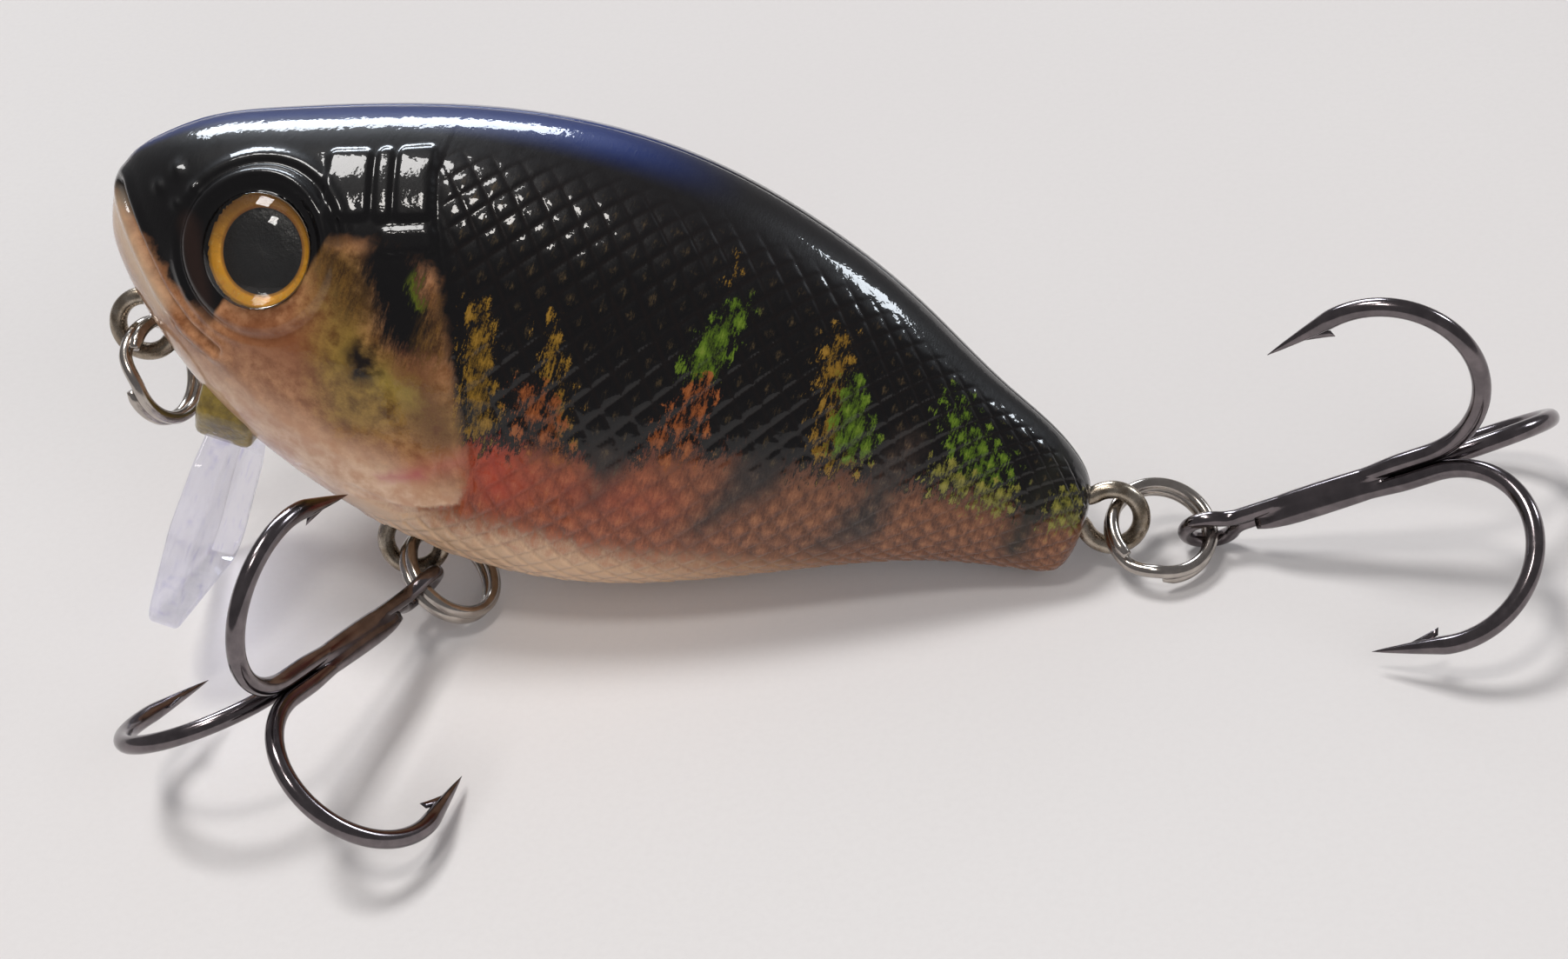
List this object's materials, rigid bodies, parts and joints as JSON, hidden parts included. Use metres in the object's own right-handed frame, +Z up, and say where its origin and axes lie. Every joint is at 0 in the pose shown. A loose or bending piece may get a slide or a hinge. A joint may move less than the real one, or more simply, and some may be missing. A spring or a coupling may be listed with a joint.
{
  "type": "crankbait lure",
  "caption": "Small crankbait fishing lure: hollow fish-shaped body with scaled paint, domed eyes and a clear diving lip, a line ring at the nose and treble hooks on split rings.",
  "frame": {"origin": "centre of the bounding box's underside, on the table the lure sits on", "axes": "+Z up from the table; +X towards the tail; +Y away from the viewer. The lure sits as it does on a table, nose up on its lip's corner and its hooks, leaning back towards +Y"},
  "size_m": [0.063, 0.0304, 0.023],
  "materials": {
    "painted_body": "perch paint under a clear gloss coat",
    "clear_lip": "clear moulded polycarbonate",
    "bright_wire": "bright stainless wire",
    "ballast": "dull cast weight",
    "eye_foil": "printed gold foil with a black pupil",
    "eye_dome": "clear cast resin",
    "bright_ring": "bright stainless spring wire",
    "black_hook": "black nickel plating"
  },
  "bodies": {
    "lure": {"left_shell": "painted_body", "right_shell": "painted_body", "diving_lip": "clear_lip", "line_tie_wire": "bright_wire", "belly_hanger": "bright_wire", "tail_hanger": "bright_wire", "front_ballast": "ballast", "rear_ballast": "ballast", "left_eye_foil": "eye_foil", "right_eye_foil": "eye_foil", "left_eye_dome": "eye_dome", "right_eye_dome": "eye_dome"},
    "nose_ring": {"nose_split_ring": "bright_ring"},
    "belly_ring": {"belly_split_ring": "bright_ring"},
    "belly_treble": {"belly_treble_double_hook": "black_hook", "belly_treble_single_hook": "black_hook", "belly_treble_braze": "black_hook"},
    "tail_ring": {"tail_split_ring": "bright_ring"},
    "tail_treble": {"tail_treble_double_hook": "black_hook", "tail_treble_single_hook": "black_hook", "tail_treble_braze": "black_hook"}
  },
  "joints": [
    {"name": "nose_ring_swing", "type": "hinge", "parent": "lure", "child": "nose_ring", "pos_m": [-0.02985, 0.00534, 0.01422], "axis": [0.1464, -0.9205, 0.3623], "range_deg": [-130, 3]},
    {"name": "belly_ring_swing", "type": "hinge", "parent": "lure", "child": "belly_ring", "pos_m": [-0.01874, 0.00301, 0.00382], "axis": [0.1464, -0.9205, 0.3623], "range_deg": [-80, 0]},
    {"name": "belly_treble_swing", "type": "hinge", "parent": "belly_ring", "child": "belly_treble", "pos_m": [-0.01722, 0.00263, 0.00224], "axis": [-0.7232, -0.0152, -0.6904], "range_deg": [-120, 0]},
    {"name": "tail_ring_swing", "type": "hinge", "parent": "lure", "child": "tail_ring", "pos_m": [0.01253, 0.00751, 0.00261], "axis": [0.1464, -0.9205, 0.3623], "range_deg": [-30, 45]},
    {"name": "tail_treble_swing", "type": "hinge", "parent": "tail_ring", "child": "tail_treble", "pos_m": [0.01464, 0.00756, 0.00189], "axis": [-0.315, 0.2846, -0.9054], "range_deg": [-80, 110]}
  ]
}
